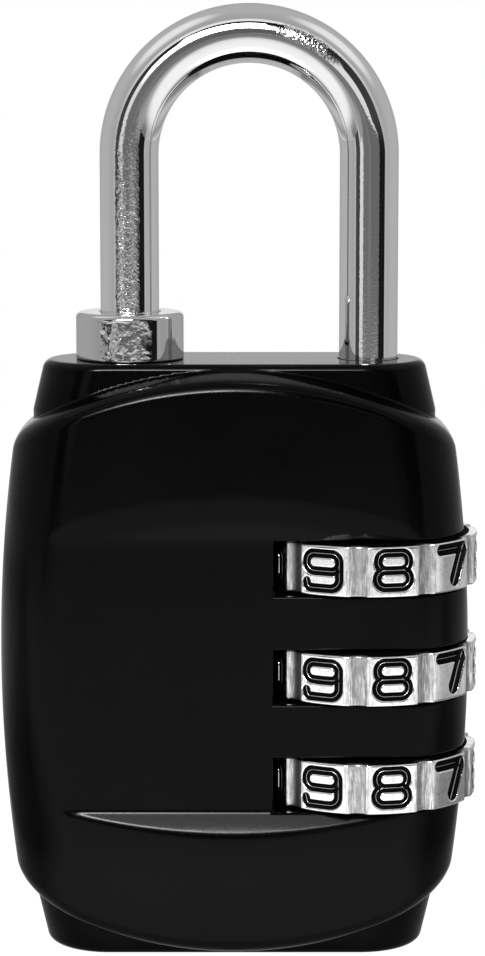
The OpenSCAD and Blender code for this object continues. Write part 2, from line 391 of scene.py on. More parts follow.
# ---- body casting -------------------------------------------------------------------
# The casting is one distance field. Its zero surface is meshed on a grid, which has closer lines
# where the shape turns.

BAND_FRONT = 7.1
PANEL_FRONT = 6.3
BLOCK_FRONT = 4.5
BULGE_R = 88.0
BAND_CORNER = 4.7
BLOCK_CORNER = 4.3
BLOCK_HALF_W, TAPER_START, TAPER = 13.7, 16.9, 0.235
SIDE_R = 105.0
ARCH_R = 29.0
ARCH_TOP = 39.35
RAMP_EDGE, EDGE_INSET, RAMP_RISE = 0.9, 0.5, 0.2
PANEL_LOW = 10.5
PANEL_HIGH = 28.95
TOP_EDGE = 0.5
SLOT_X = 2.6
SLOT_HALF = DIAL_H / 2 + 0.16
POCKET_R = DIAL_R + 0.3
BORE_R = 3.1
BORE_TOP = 31.7
WIRE_GAP = 0.07
SOCKET_R, SOCKET_DEPTH = 2.84, 3.8
BALL_HOLE_R, BALL_HOLE_MIDDLE, BALL_HOLE_HALF = 0.8, 9.55, 1.95
DETENT_TURN = math.radians(-168.5)


def round_max(a, b, r):
    """Intersection of two fields, its edge rounded by radius r."""
    return np.minimum(-r, np.maximum(a, b)) + np.hypot(np.maximum(r + a, 0), np.maximum(r + b, 0))


def round_min(a, b, r):
    """Union of two fields, its inner corner filled by radius r."""
    return -round_max(-a, -b, r)


def soft_max(a, b, k):
    """Intersection of two fields that meet at a shallow angle, blended over width k."""
    h = np.maximum(k - np.abs(a - b), 0) / k
    return np.maximum(a, b) + h * h * k / 4


def soft_step(t, r):
    """t where t is well above zero, and 0 where it is well below."""
    return 0.5 * (t + np.sqrt(t * t + r * r))


def round_box(x, y, half_w, half_d, corner):
    """Distance field of a rectangle with round corners, in the quarter of positive x and y."""
    u, v = x - (half_w - corner), y - (half_d - corner)
    return np.hypot(np.maximum(u, 0), np.maximum(v, 0)) + np.minimum(np.maximum(u, v), 0) - corner


def band_field(x, y, z):
    xs, ys, up = np.abs(x), np.abs(y), z - MID_Z
    half_w = HALF_W - up * up / (2 * SIDE_R)
    bulge = round_box(xs, ys, half_w, BAND_FRONT - xs * xs / (2 * BULGE_R), BAND_CORNER)
    # below the flat panel a cove runs out to the lower bulge, and above it a gentler slope to the upper one
    down = np.clip(soft_step(PANEL_LOW - z, 0.13), 0, 2.1)
    cove = down * (0.58 - down * (0.01 + 0.02 * down))
    panel = PANEL_FRONT + cove + 0.4 * soft_step(z - PANEL_HIGH, 0.3)
    blend = 0.14 + 0.3 * np.clip((z - MID_Z) / 8 + 0.5, 0, 1)
    band = soft_max(bulge, (ys - panel) * 0.88, blend)
    inset = np.clip(-bulge, 0, 3.2)
    rise = RAMP_EDGE * inset - (RAMP_EDGE - RAMP_RISE) * soft_step(inset - EDGE_INSET, 0.25)
    from_centre = np.hypot(x, np.abs(up) + ARCH_R - (ARCH_TOP - MID_Z))
    arch = (from_centre - ARCH_R - rise) * 0.8
    return round_max(band, arch, 0.32)


def block_field(x, y, z):
    xs, ys, up = np.abs(x), np.abs(y), np.abs(z - MID_Z)
    half_w = BLOCK_HALF_W - np.maximum(up - TAPER_START, 0) * TAPER
    return round_box(xs, ys, half_w, BLOCK_FRONT, BLOCK_CORNER)


def hollow_field(x, y, z):
    """Everything that is cut out of the casting except the dial slots."""
    from_axis = np.hypot(x - AXIS_X, y)
    hollow = np.maximum(from_axis - BORE_R, z - BORE_TOP)
    hollow = np.minimum(hollow, np.maximum(from_axis - WIRE_R - WIRE_GAP, BORE_TOP - 0.5 - z))
    hollow = np.minimum(hollow, np.maximum(np.hypot(x - TOE_X, y) - SOCKET_R, BODY_H - SOCKET_DEPTH - z))
    ux, uy = math.cos(DETENT_TURN), math.sin(DETENT_TURN)
    along = (x - AXIS_X) * ux + y * uy
    across = y * ux - (x - AXIS_X) * uy
    for dial_z in DIAL_Z:
        hole = np.abs(along - BALL_HOLE_MIDDLE) - BALL_HOLE_HALF
        hole = np.maximum(np.hypot(across, z - dial_z) - BALL_HOLE_R, hole)
        hollow = np.minimum(hollow, hole)
    return hollow


def slot_field(x, y, z):
    plan = np.minimum(SLOT_X - x, np.hypot(x - AXIS_X, y) - POCKET_R)
    height = np.min([np.abs(z - dial_z) for dial_z in DIAL_Z], axis=0) - SLOT_HALF
    return np.maximum(height, plan)


def body_field(x, y, z):
    solid = round_min(band_field(x, y, z), block_field(x, y, z), 0.08)
    solid = round_max(round_max(solid, z - BODY_H, TOP_EDGE), -z, TOP_EDGE)
    solid = round_max(solid, -slot_field(x, y, z), 0.16)
    return round_max(solid, -hollow_field(x, y, z), 0.08)


def gradient(field, points, step=0.004):
    out = np.empty_like(points)
    for axis in range(3):
        ahead, behind = points.copy(), points.copy()
        ahead[:, axis] += step
        behind[:, axis] -= step
        out[:, axis] = (field(*ahead.T) - field(*behind.T)) / (2 * step)
    return out


def grid_lines(low, high, coarse, fine_spans):
    """Coordinates from low to high, coarse apart, and closer inside the spans (from, to, step)."""
    lines = [low]
    while lines[-1] < high:
        here = lines[-1]
        step = coarse
        for start, end, fine in fine_spans:
            if start - 0.5 * coarse <= here < end:
                step = min(step, fine)
        lines.append(here + step)
    return np.array(lines)


def surface_net(field, xs, ys, zs):
    """Points and quads of the field's zero surface on a grid of uneven lines."""
    shape = (len(xs), len(ys), len(zs))
    values = np.empty(shape, np.float32)
    for k in range(0, len(zs), 16):
        values[:, :, k : k + 16] = field(*np.meshgrid(xs, ys, zs[k : k + 16], indexing="ij"))
    inside = values < 0
    count = np.zeros(tuple(n - 1 for n in shape), np.int8)
    corners = [(a, b, c) for a in (0, 1) for b in (0, 1) for c in (0, 1)]
    for a, b, c in corners:
        count += inside[a : shape[0] - 1 + a, b : shape[1] - 1 + b, c : shape[2] - 1 + c]
    cells = np.argwhere((count > 0) & (count < 8))
    index = np.full(count.shape, -1, np.int32)
    index[tuple(cells.T)] = np.arange(len(cells))
    total, weight = np.zeros((len(cells), 3)), np.zeros(len(cells))
    grid = (xs, ys, zs)
    for first in corners:
        for axis in range(3):
            if first[axis]:
                continue
            second = tuple(1 if n == axis else first[n] for n in range(3))
            p, q = cells + first, cells + second
            v, w = values[tuple(p.T)], values[tuple(q.T)]
            cut = (v < 0) != (w < 0)
            share = np.where(cut, v / np.where(cut, v - w, 1), 0)
            start = np.stack([grid[n][p[:, n]] for n in range(3)], 1)
            end = np.stack([grid[n][q[:, n]] for n in range(3)], 1)
            total += np.where(cut[:, None], start + share[:, None] * (end - start), 0)
            weight += cut
    points = total / weight[:, None]
    quads = []
    for axis in range(3):
        u, v = (axis + 1) % 3, (axis + 2) % 3
        lower = [slice(None)] * 3
        upper = [slice(None)] * 3
        lower[axis], upper[axis] = slice(0, -1), slice(1, None)
        crossing = np.argwhere(inside[tuple(lower)] != inside[tuple(upper)])
        keep = np.all([crossing[:, n] > 0 for n in (u, v)], 0)
        keep &= np.all([crossing[:, n] < shape[n] - 1 for n in (u, v)], 0)
        crossing = crossing[keep]
        ring = []
        for du, dv in ((-1, -1), (0, -1), (0, 0), (-1, 0)):
            cell = crossing.copy()
            cell[:, u] += du
            cell[:, v] += dv
            ring.append(index[tuple(cell.T)])
        ring = np.stack(ring, 1)
        outward = inside[tuple(crossing.T)]
        quads.append(np.where(outward[:, None], ring, ring[:, ::-1]))
    return points, np.concatenate(quads)


def settle(field, points, rounds=4):
    """Moves points onto the field's zero surface."""
    for _ in range(rounds):
        slope = gradient(field, points)
        value = field(*points.T)
        points = points - np.clip(value / np.maximum((slope**2).sum(1), 0.05), -0.1, 0.1)[:, None] * slope
    return points


def make_body():
    slot_edges = [
        (dial_z + side * SLOT_HALF - 0.35, dial_z + side * SLOT_HALF + 0.35, 0.09)
        for dial_z in DIAL_Z
        for side in (-1, 1)
    ]
    xs = grid_lines(
        -HALF_W - 0.3, HALF_W + 0.3, 0.26,
        [(-16.4, -12.2, 0.15), (2.0, 3.2, 0.09), (6.4, 7.6, 0.12), (10.6, 11.8, 0.12), (12.2, 16.4, 0.15)],
    )
    ys = grid_lines(
        -7.4, 7.4, 0.26,
        [(-7.4, -5.8, 0.11), (-4.9, -3.8, 0.12), (-2.4, 2.4, 0.15), (3.8, 4.9, 0.12), (5.8, 7.4, 0.11)],
    )
    zs = grid_lines(
        -0.3, BODY_H + 0.3, 0.3,
        [(-0.3, 5.2, 0.13), (8.4, 10.8, 0.12), (29.2, 31.8, 0.15), (35.2, BODY_H + 0.3, 0.13), *slot_edges],
    )
    points, quads = surface_net(body_field, xs, ys, zs)
    points = settle(body_field, points)
    slope = gradient(body_field, points)
    normals = slope / np.linalg.norm(slope, axis=1, keepdims=True)
    body = mesh_object("padlock_body", points, quads, [PAINT], normals=normals)
    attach(body, "body")
    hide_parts("body_casting")


# ---- shackle --------------------------------------------------------------------------

TOE_Z = 40.8
SHOULDER_Z = 31.75
SPINDLE_END = 3.2
NECK_LOW, NECK_HIGH, NECK_R = 3.59, 4.05, 0.8
CORE_R = 1.1
# heights of the worn stretches, and where the bow's worn patch is
PITS_FOOT, PITS_TOP = 41.5, 57.5
SCUFF_FOOT, SCUFF_TOP = 40, 59
BOW_PATCH_X, BOW_PATCH_Z = 4.6, 61.7


def pitting(points, patch, seed):
    """How far the plating is pushed in at points, inside a patch that fades from 1 to 0."""
    coarse = value_noise(points, 0.3, seed)
    fine = value_noise(points, 0.17, seed + 1)
    lumps = 0.45 * coarse + 0.55 * fine
    return patch * (0.012 * lumps + 0.03 * np.clip(lumps - 0.22, 0, 1))


def shackle_path():
    """Stations along the wire from the toe to the spindle's end: place, direction and radius."""
    stations = []

    def add(x, z, turn, radius):
        stations.append((x, z, turn, radius))

    up = math.pi / 2
    add(TOE_X, TOE_Z, up, 0.001)
    add(TOE_X, TOE_Z, up, WIRE_R - 0.62)
    for a in np.linspace(0, math.pi / 2, 7):
        add(TOE_X, TOE_Z + 0.6 * math.sin(a), up, WIRE_R - 0.5 * math.cos(a))
    for z in np.arange(TOE_Z + 0.8, BEND_Z - 0.02, 0.07):
        add(TOE_X, z, up, WIRE_R)
    for a in np.linspace(math.pi, 0, 241):
        add(BEND_X + BEND_R * math.cos(a), BEND_Z + BEND_R * math.sin(a), a - math.pi / 2, WIRE_R)
    for z in np.linspace(BEND_Z, SHOULDER_Z + 0.1, 60)[1:]:
        add(AXIS_X, z, -up, WIRE_R)
    for z, r in (
        (SHOULDER_Z, WIRE_R - 0.1), (SHOULDER_Z, CORE_R), (NECK_HIGH, CORE_R), (NECK_HIGH, NECK_R),
        (NECK_LOW, NECK_R), (NECK_LOW, CORE_R), (SPINDLE_END + 0.2, CORE_R),
        (SPINDLE_END, CORE_R - 0.2), (SPINDLE_END, 0.001),
    ):
        add(AXIS_X, z, -up, r)
    return np.array(stations)


def make_shackle():
    around = 180
    stations = shackle_path()
    turn = stations[:, 2]
    angle = np.linspace(0, 2 * math.pi, around, endpoint=False)
    # the wire's cross-section is spanned by Y and by the in-plane direction across its path
    side = np.stack([np.sin(turn), np.zeros_like(turn), -np.cos(turn)], 1)
    front = np.array([0, -1, 0])
    ring = side[:, None, :] * np.cos(angle)[None, :, None] + front * np.sin(angle)[None, :, None]
    centre = np.stack([stations[:, 0], np.zeros(len(stations)), stations[:, 1]], 1)
    points = centre[:, None, :] + ring * stations[:, 3][:, None, None]
    x, z = points[..., 0], points[..., 2]
    off_front = np.degrees(angle)[None, :] - 90
    # the plating is pitted up the toe leg's front and on the bow's right shoulder
    toe_leg = (x < BEND_X) * fade(PITS_TOP - z, 7) * fade(z - PITS_FOOT, 0.5)
    toe_leg = toe_leg * fade(25 - np.abs(off_front - 2), 7)
    bow = np.exp(-((((x - BOW_PATCH_X) / 1.9) ** 2 + ((z - BOW_PATCH_Z) / 1.6) ** 2) ** 2))
    bow = bow * fade(16 - np.abs(off_front - 14), 8)
    patch = (toe_leg + bow) ** 0.8
    points = points - ring * pitting(points, patch, 11)[..., None]
    # the spindle leg's front is scuffed
    scuff = (x > BEND_X + 5) * fade(SCUFF_TOP - z, 6) * fade(z - SCUFF_FOOT, 2)
    scuff = scuff * np.clip(np.sin(angle)[None, :] * 12 - 10.6, 0, 1)
    shackle = mesh_object(
        "shackle_wire", points.reshape(-1, 3), grid_faces(len(stations), around), [SHACKLE_CHROME]
    )
    set_wear(shackle, np.maximum(patch, 0.12 * scuff))
    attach(shackle, "shackle")
    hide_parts("shackle")


# ---- socket collar ---------------------------------------------------------------------


def lathe(profile, around, x):
    """Points of a turned shape, row by row along its profile of (radius, z), and each column's angle."""
    angle = np.linspace(0, 2 * math.pi, around, endpoint=False)
    profile = np.asarray(profile)
    radius, height = profile[:, 0][:, None], profile[:, 1][:, None]
    points = np.stack(
        [x + radius * np.cos(angle)[None], radius * np.sin(angle)[None], height + 0 * angle[None]], -1
    )
    return points, angle


def arc(centre, radius, start, end, count):
    """Points along an arc in a profile. Its angles are in degrees."""
    turns = np.radians(np.linspace(start, end, count))
    return [(centre[0] + radius * math.cos(t), centre[1] + radius * math.sin(t)) for t in turns]


STEM_R, STEM_END_R = 2.82, 2.5


def make_collar():
    around = 420
    top, foot, stem_foot = float(COLLAR_HIGH[2]), BODY_H, float(COLLAR_LOW[2])
    bore, edge = WIRE_R + 0.05, 0.38
    profile = [(0.01, BODY_H - 0.7), (bore, BODY_H - 0.7)]
    profile += arc((bore + 0.2, top - 0.2), 0.2, 180, 90, 6)
    profile += arc((COLLAR_R - edge, top - edge), edge, 90, 0, 12)
    profile += [(COLLAR_R, z) for z in np.linspace(top - edge, foot + 0.12, 56)[1:-1]]
    profile += arc((COLLAR_R - 0.12, foot + 0.12), 0.12, 0, -90, 5)
    profile += [(STEM_R, foot), (STEM_R, stem_foot + 0.3), (STEM_END_R, stem_foot), (0.01, stem_foot)]
    profile = profile[::-1]
    points, angle = lathe(profile, around, TOE_X)
    height = points[..., 2]
    # the plating is rough where the collar faces the front
    facing = np.cos(angle + math.pi / 2 + math.radians(4))[None]
    patch = fade(facing - 0.86, 0.06) * fade(height - foot - 0.1, 0.15)
    patch *= fade(top - 0.3 - height, 0.15)
    outward = np.stack([np.cos(angle), np.sin(angle), 0 * angle], -1)[None]
    lumps = 0.7 * value_noise(points, 0.42, 31) + 0.3 * value_noise(points, 0.2, 32)
    points = points - outward * (patch * 0.046 * (lumps + 0.3))[..., None]
    collar = mesh_object(
        "toe_socket_collar", points.reshape(-1, 3), grid_faces(len(profile), around), [COLLAR_CHROME]
    )
    set_wear(collar, patch * np.ones_like(height))
    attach(collar, "body")
    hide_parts("socket_collar")


# ---- dials -------------------------------------------------------------------------------

PADS = 10
PAD_TURN = 11.5
PITCH = 2 * math.pi / PADS
PAD_FLAT, FLAT_SHARE = 0.045, 0.38
DIAL_BORE_R, DIAL_STEP_R, DIAL_STEP_H = 2.62, 3.08, 2.0
NOTCH_R, NOTCH_HALF = 2.8, 0.475
GROOVE_R, GROOVE_DEPTH = 0.78, 0.3
RIM = 0.6
NUMBER_DEPTH = 0.2
STROKE = 0.27
GLINT = 0.012
HALF_NUMBER_W, HALF_NUMBER_H = 1.14, 1.17


def pad_flat(turn):
    """How much lower a pad is than the full ring, at an angle from its middle."""
    return PAD_FLAT * np.maximum(1 - (np.abs(turn) / (FLAT_SHARE * PITCH)) ** 2, 0)


def rounded(corners, radius, closed=False):
    """A dense path through corners, each turned on an arc. radius may be one number or one per corner."""
    corners = [np.array(c, float) for c in corners]
    count = len(corners)
    radii = radius if isinstance(radius, (list, tuple)) else [radius] * count
    path = []
    for i, corner in enumerate(corners):
        if not closed and i in (0, count - 1):
            path.append(corner)
            continue
        before, after = corners[i - 1] - corner, corners[(i + 1) % count] - corner
        before /= np.linalg.norm(before)
        after /= np.linalg.norm(after)
        half = math.acos(np.clip(before @ after, -1, 1)) / 2
        reach = radii[i] / math.tan(half)
        middle = corner + (before + after) / np.linalg.norm(before + after) * radii[i] / math.sin(half)
        start, end = corner + before * reach - middle, corner + after * reach - middle
        sweep = math.atan2(start[0] * end[1] - start[1] * end[0], start @ end)
        for t in np.linspace(0, sweep, 14):
            c, s = math.cos(t), math.sin(t)
            path.append(middle + (c * start[0] - s * start[1], s * start[0] + c * start[1]))
    if closed:
        path.append(path[0])
    dense = [path[0]]
    for a, b in zip(path, path[1:]):
        steps = max(1, math.ceil(np.linalg.norm(b - a) / 0.06))
        dense += [a + (b - a) * t / steps for t in range(1, steps + 1)]
    return np.array(dense)


def number_strokes():
    """For each number, its strokes: path, half width and half width of the bright line in it."""
    w, h = HALF_NUMBER_W, HALF_NUMBER_H

    def loop(low, high, half_w, radius):
        return rounded([(half_w, high), (-half_w, high), (-half_w, low), (half_w, low)], radius, closed=True)

    tail = [(w + 0.06, 0.5), (w + 0.06, -h), (-w + 0.05, -h), (-w - 0.05, -h + 0.4)]
    nine = [loop(-0.02, h, w + 0.06, 0.56), rounded(tail, [0, 0.62, 0.2, 0])]
    five = [(w, h), (-w, h), (-w, 0.1), (w, 0.1), (w, -h), (-w, -h)]
    strokes = {
        0: [loop(-h, h, w, 0.72)],
        1: [rounded([(-0.45, 0.7), (0.15, h), (0.15, -h)], 0.08)],
        2: [rounded([(-w, 0.6), (-w, h), (w, h), (w, 0.0), (-w, -0.05), (-w, -h), (w, -h)], 0.5)],
        3: [
            rounded([(-w, h), (w, h), (w, 0.0), (-0.35, 0.0)], 0.5),
            rounded([(-0.35, 0), (w, 0), (w, -h), (-w, -h)], 0.5),
        ],
        4: [rounded([(w, -0.42), (-w, -0.42), (0.35, h), (0.35, -h)], 0.12)],
        5: [rounded(five, [0, 0.15, 0.15, 0.55, 0.55, 0])],
        6: [-stroke for stroke in nine],
        7: [
            rounded([(-w, h - 0.08), (w, h - 0.08)], 0),
            rounded([(w - 0.02, h - 0.3), (w - 0.35, 0.25), (0.3, -h + 0.25)], [0, 0.8, 0]),
        ],
        8: [loop(-0.02, h, w - 0.07, 0.56), loop(-h, -0.02, w, 0.57)],
        9: nine,
    }
    # some are set a little off the pad's middle, and the seven is bold
    shift = {7: (0.0, 0.12), 8: (0.0, 0.13), 9: (-0.14, -0.02)}
    bold = {7: [(0.36, 0.012), (0.56, 0.05)]}
    return {
        n: [
            (path + shift.get(n, (0.0, 0.0)), *width)
            for path, width in zip(paths, bold.get(n, [(STROKE, GLINT)] * len(paths)))
        ]
        for n, paths in strokes.items()
    }


NUMBERS = number_strokes()


def pad_turn(number):
    """Angle of a number's pad from the front, towards +X."""
    return math.radians(PAD_TURN) + PITCH * (8 - number)


def distance_to_strokes(points, strokes):
    """Distance from each (u, v) point to the nearest stroke's edge, negative inside."""
    best = np.full(len(points), 9.0)
    for path, half_width, _ in strokes:
        a, b = path[:-1], path[1:]
        span = b - a
        share = ((points[:, None] - a[None]) * span[None]).sum(-1) / (span**2).sum(-1)[None]
        nearest = a[None] + np.clip(share, 0, 1)[..., None] * span[None]
        best = np.minimum(best, np.linalg.norm(points[:, None] - nearest, axis=-1).min(1) - half_width)
    return best


def make_dial(k):
    """One dial: a ring with ten scooped grooves, bevelled rims, and the numbers cut into its pads."""
    columns = 1000
    low = DIAL_Z[k] - DIAL_H / 2
    high = DIAL_Z[k] + DIAL_H / 2
    bevel = 0.13
    step_top = low + DIAL_STEP_H
    profile = [(DIAL_BORE_R, high), (DIAL_R - RIM, high)]
    profile += arc((DIAL_R - bevel, high - bevel), bevel, 90, 0, 6)
    profile += [(DIAL_R, z) for z in np.linspace(high - bevel, low + bevel, 64)[1:-1]]
    profile += arc((DIAL_R - bevel, low + bevel), bevel, 0, -90, 6)
    profile += [(DIAL_R - RIM, low), (DIAL_STEP_R, low), (DIAL_STEP_R, step_top)]
    profile += [(DIAL_BORE_R, step_top), (DIAL_BORE_R, step_top + 0.01)]
    profile = np.array(profile[::-1])
    turn = np.linspace(0, 2 * math.pi, columns, endpoint=False)
    from_pad = (turn - pad_turn(8) + PITCH / 2) % PITCH - PITCH / 2
    # a groove is a scoop of radius GROOVE_R with slightly rounded lips. The pads are a little flatter
    # than the ring
    from_groove = (PITCH / 2 - np.abs(from_pad)) * DIAL_R
    scoop = np.sqrt(np.maximum(GROOVE_R**2 - from_groove**2, 0)) - (GROOVE_R - GROOVE_DEPTH)
    groove = soft_step(scoop, 0.05) * (from_groove < GROOVE_R)
    outer = DIAL_R - groove - pad_flat(from_pad)
    notch = np.abs(from_pad) * NOTCH_R < NOTCH_HALF
    radius, height = np.repeat(profile[:, :1], columns, 1), np.repeat(profile[:, 1:], columns, 1)
    inner = radius < DIAL_BORE_R + 0.08
    radius = np.where(inner & notch[None], DIAL_STEP_R, radius)
    in_rim = radius > DIAL_R - RIM + 0.05
    radius = np.where(in_rim, radius - DIAL_R + outer[None], radius)
    wall = np.where(np.abs(profile[:, 0] - DIAL_R) < 1e-6)[0]
    for number, strokes in NUMBERS.items():
        middle = pad_turn(number)
        offset = (turn - middle + math.pi) % (2 * math.pi) - math.pi
        near = np.where(np.abs(offset) * DIAL_R < 1.8)[0]
        rows, cols = np.meshgrid(wall, near, indexing="ij")
        place = np.stack([offset[cols].ravel() * DIAL_R, height[rows, cols].ravel() - DIAL_Z[k]], 1)
        inside = -distance_to_strokes(place, strokes)
        cut = NUMBER_DEPTH * fade(inside + 0.05, 0.09)
        radius[rows, cols] -= cut.reshape(rows.shape)
    points = np.stack([AXIS_X + radius * np.sin(turn), -radius * np.cos(turn), height], -1)
    # the faces inside the rim (top, bottom, bore and step) get the near-black painted shade
    ring = mesh_object(
        f"dial_{k + 1}_ring", points.reshape(-1, 3), grid_faces(len(profile), columns, wrap_rows=True),
        [DIAL_CHROME, DIAL_FACE_SHADE], np.repeat(profile[:, 0] < DIAL_R - 0.2, columns)
    )
    # the stored value is 1 at a groove's middle and falls to 0 at 1.19 mm from it, about 0.4 mm out onto the
    # pads; it darkens the chrome there
    wear = np.clip(1.25 - from_groove / 0.95, 0, 1)[None] * np.ones_like(radius)
    set_wear(ring, wear)
    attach(ring, f"dial_{k + 1}")
    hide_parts(f"dial_ring_{k + 1}")


def make_numbers(k):
    """The black filling of a dial's numbers, with the bright line along the bottom of each stroke."""
    points, faces, kinds = [], [], []
    for number, strokes in NUMBERS.items():
        middle = pad_turn(number)
        for layer, (path, half_width, glint) in enumerate(strokes):
            closed = np.allclose(path[0], path[-1])
            if closed:
                path = path[:-1]
                along = np.roll(path, -1, 0) - np.roll(path, 1, 0)
            else:
                along = np.gradient(path, axis=0)
            along /= np.linalg.norm(along, axis=1, keepdims=True)
            if not closed:
                # round ends: extra stations whose width follows a half circle
                turns = np.radians([0, 15, 30, 45, 60, 75, 90])
                head = path[0] - along[0] * half_width * np.cos(turns)[:, None]
                tail = path[-1] + along[-1] * half_width * np.cos(turns[::-1])[:, None]
                width = np.concatenate([np.sin(turns), np.ones(len(path) - 2), np.sin(turns[::-1])])
                path = np.concatenate([head, path[1:-1], tail])
                along = np.concatenate([along[[0] * 7], along[1:-1], along[[-1] * 7]])
            else:
                width = np.ones(len(path))
            across = np.stack([-along[:, 1], along[:, 0]], 1)
            base = DIAL_R - 0.06 + 0.006 * layer
            bright = glint / half_width
            half_mark = [(1, -0.06), (1, 0.0), (0.55, -0.03), (bright, -0.045), (0.4 * bright, -0.03)]
            marks = [(-offset, depth) for offset, depth in half_mark] + half_mark[::-1]
            first = len(points)
            for place, side, share in zip(path, across, width):
                for offset, depth in marks:
                    u, v = place + side * offset * half_width * share
                    a = middle + u / DIAL_R
                    r = base + depth - pad_flat(u / DIAL_R)
                    points.append((AXIS_X + r * math.sin(a), -r * math.cos(a), DIAL_Z[k] + v))
            quads = grid_faces(len(path), len(marks), wrap_columns=False, wrap_rows=closed)
            column = quads[:, 0] - np.arange(len(quads)) // (len(marks) - 1) * len(marks)
            faces.append(quads[:, ::-1] + first)
            kinds.append(((column >= 3) & (column <= 5)).astype(int))
    numbers = mesh_object(
        f"dial_{k + 1}_numbers", points, np.concatenate(faces), [ENAMEL, GLINT_CHROME], np.concatenate(kinds)
    )
    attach(numbers, f"dial_{k + 1}")


# ---- reset spring ----------------------------------------------------------------------------


def make_reset_spring():
    """The coil spring under the sleeves, as one fixed mesh. The real spring closes up as the sleeves are
    pushed down to set a new code.
    """
    low, high = box_mm("reset_spring")
    wire, turns, sides = 0.25, 4.5, 12
    coil_r = float(high[0] - low[0]) / 2 - wire
    angle = np.linspace(0, 2 * math.pi * turns, int(36 * turns))
    share = angle / angle[-1]
    centre_z = low[2] + wire + (high[2] - low[2] - 2 * wire) * share
    # the first and last rings are drawn in to close the ends
    size = wire * np.ones(len(angle))
    angle, centre_z, size = (np.pad(a, 1, mode="edge") for a in (angle, centre_z, size))
    size[[0, -1]] = 0.002
    ring = np.linspace(0, 2 * math.pi, sides, endpoint=False)
    radius = coil_r + size[:, None] * np.cos(ring)
    points = np.stack([
        AXIS_X + radius * np.cos(angle)[:, None],
        radius * np.sin(angle)[:, None],
        centre_z[:, None] + size[:, None] * np.sin(ring),
    ], -1)
    spring = mesh_object(
        "reset_coil", points.reshape(-1, 3), grid_faces(len(angle), sides)[:, ::-1], [SPRING_STEEL]
    )
    travel = next(-joint["range_m"][0] for joint in frame["joints"] if joint["name"] == "reset_shift")
    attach(spring, "body")
    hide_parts("reset_spring")
    1 - travel / ((high[2] - low[2]) * MM)
    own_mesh(spring)


# ---- the pieces that stay as the CAD made them ---------------------------------------------

KEPT = {
    PLUG_PAINT: ["base_plug"],
    BRASS: ["tumbler_sleeve_1", "tumbler_sleeve_2", "tumbler_sleeve_3"],
    STEEL: ["top_washer", "thrust_washer", "detent_ball_1", "detent_ball_2", "detent_ball_3"],
    SPRING_STEEL: ["shackle_clip", "detent_spring_1", "detent_spring_2", "detent_spring_3"],
}
for material, nodes in KEPT.items():
    for node in nodes:
        mesh = frame["nodes"][node].data
        mesh.materials.clear()
        mesh.materials.append(material)

make_body()
make_shackle()
make_collar()
make_reset_spring()
for dial in range(3):
    make_dial(dial)
    make_numbers(dial)

# ---- floor and light ---------------------------------------------------------------------

FLOOR_R = 300.0
FLOOR_EDGE = FLOOR_R * MM
# brightness at distances in metres: ahead of the object's middle in the lane, and out from it elsewhere
LANE = [
    (0, 0.3), (0.006, 0.45), (0.014, 1.3), (0.03, 1.4), (0.046, 0.98),
    (0.06, 0.95), (0.12, 0.82), (0.18, 0.58), (0.225, 0.1), (0.3, 0.22),
]
OPEN_FLOOR = [(0.0, 1.0), (0.13, 0.92), (0.21, 0.5), (0.3, 0.44)]


def floor_curve(source, stops):
    """Brightness along a distance in metres, up to the floor's edge."""
    node = source.tree.nodes.new("ShaderNodeValToRGB")
    elements = node.color_ramp.elements
    while len(elements) < len(stops):
        elements.new(1.0)
    for element, (metres, _) in zip(elements, stops):
        element.position = metres / FLOOR_EDGE
    for element, (_, value) in zip(elements, stops):
        element.color = (value / 2, value / 2, value / 2, 1)
    feed(source.tree, node.inputs["Fac"], source / FLOOR_EDGE)
    return Varying(source.tree, node.outputs["Color"]) * 2.0


def floor_glow(tree):
    """A light table. In front of the object it has a lane of its own, which the paint reflects."""
    place = tree.nodes.new("ShaderNodeSeparateXYZ")
    tree.links.new(tree.nodes.new("ShaderNodeTexCoord").outputs["Object"], place.inputs[0])
    x, y = (Varying(tree, place.outputs[axis]) for axis in "XY")
    ahead = (y * -1.0).do("MAXIMUM", 0.0)
    sideways = x.do("ABSOLUTE")
    far_out = (x * x + y * y).do("SQRT")
    lane = floor_curve(ahead, LANE)
    open_floor = floor_curve(far_out, OPEN_FLOOR)
    # far out, the studio's rings run on across the floor
    turned = sideways.do("ARCTAN2", y * -1.0) * (180 / math.pi)
    wedge = mix(mix(0.25, 0.12, turned.step(36.0, 42.0)), 0.44, turned.step(56.0, 66.0))
    open_floor = mix(open_floor, wedge, far_out.step(0.14, 0.25))
    beside = work(tree, "SMOOTH_MAX", 0.0, (sideways - 0.026) / 0.016, 0.1).do("MINIMUM", 1.0)
    glow = lane + beside * (open_floor - lane)
    # to the left and right the floor is darker, most of all close to the object. Towards the back it is
    # a little brighter again
    back = ((y + 0.03) / 0.02).clamped()
    off_middle = ((sideways - 0.024) / 0.01).clamped()
    within = ((FLOOR_EDGE - far_out) / 0.1).clamped()
    depth = (1.0 - far_out.step(0.06, 0.11)) * 0.22 + 0.64
    rear = ((y - 0.015) / 0.02).clamped()
    shade = (1.0 - back * (off_middle * within) * depth) * (1.0 + rear * 0.5)
    seen = tree.nodes.new("ShaderNodeLightPath").outputs["Is Camera Ray"]
    return (glow * shade).do("MAXIMUM", seen)


